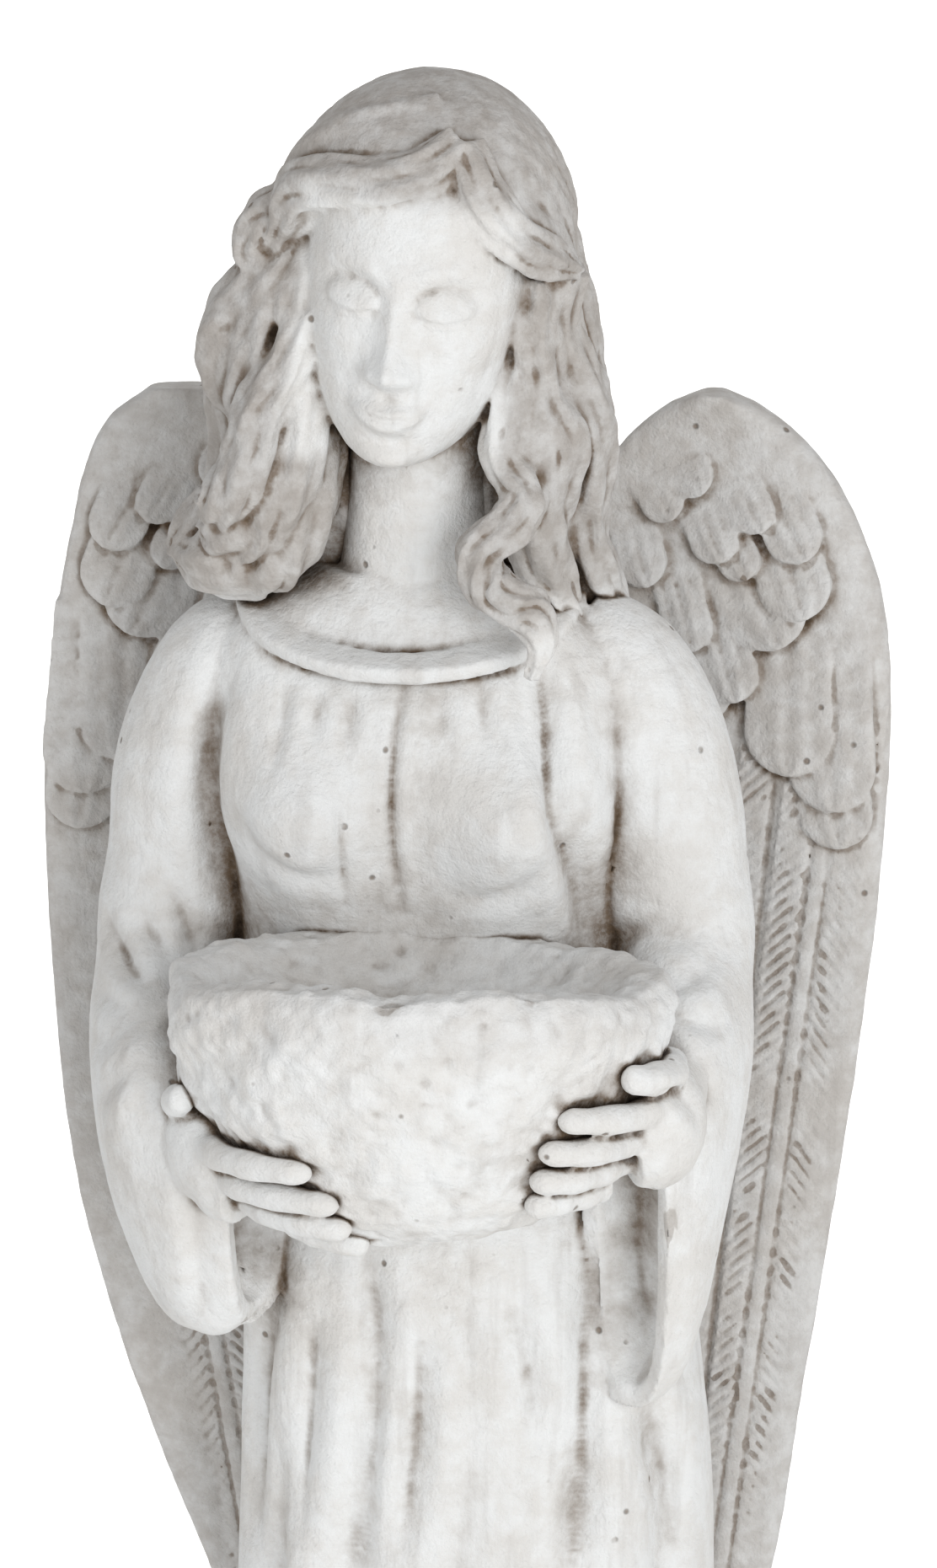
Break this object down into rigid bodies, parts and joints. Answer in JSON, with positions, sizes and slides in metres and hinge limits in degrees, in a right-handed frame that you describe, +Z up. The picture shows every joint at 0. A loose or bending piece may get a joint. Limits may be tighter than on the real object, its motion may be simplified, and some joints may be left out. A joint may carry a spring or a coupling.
{
  "type": "angel bird bath statue",
  "caption": "Standing robed angel garden statue with folded wings, cast in one piece of weathered white concrete, holding out a shallow rough basin for water, on a low base.",
  "frame": {"origin": "middle of the base's underside, on the ground", "axes": "+Z up, the figure faces -Y, +X towards the figure's left hand"},
  "size_m": [0.3573, 0.2919, 1.0534],
  "materials": {
    "cast_stone": "matte weathered white cast concrete with dirt in the carving"
  },
  "bodies": {
    "root": {"angel_statue": "cast_stone"}
  },
  "joints": []
}
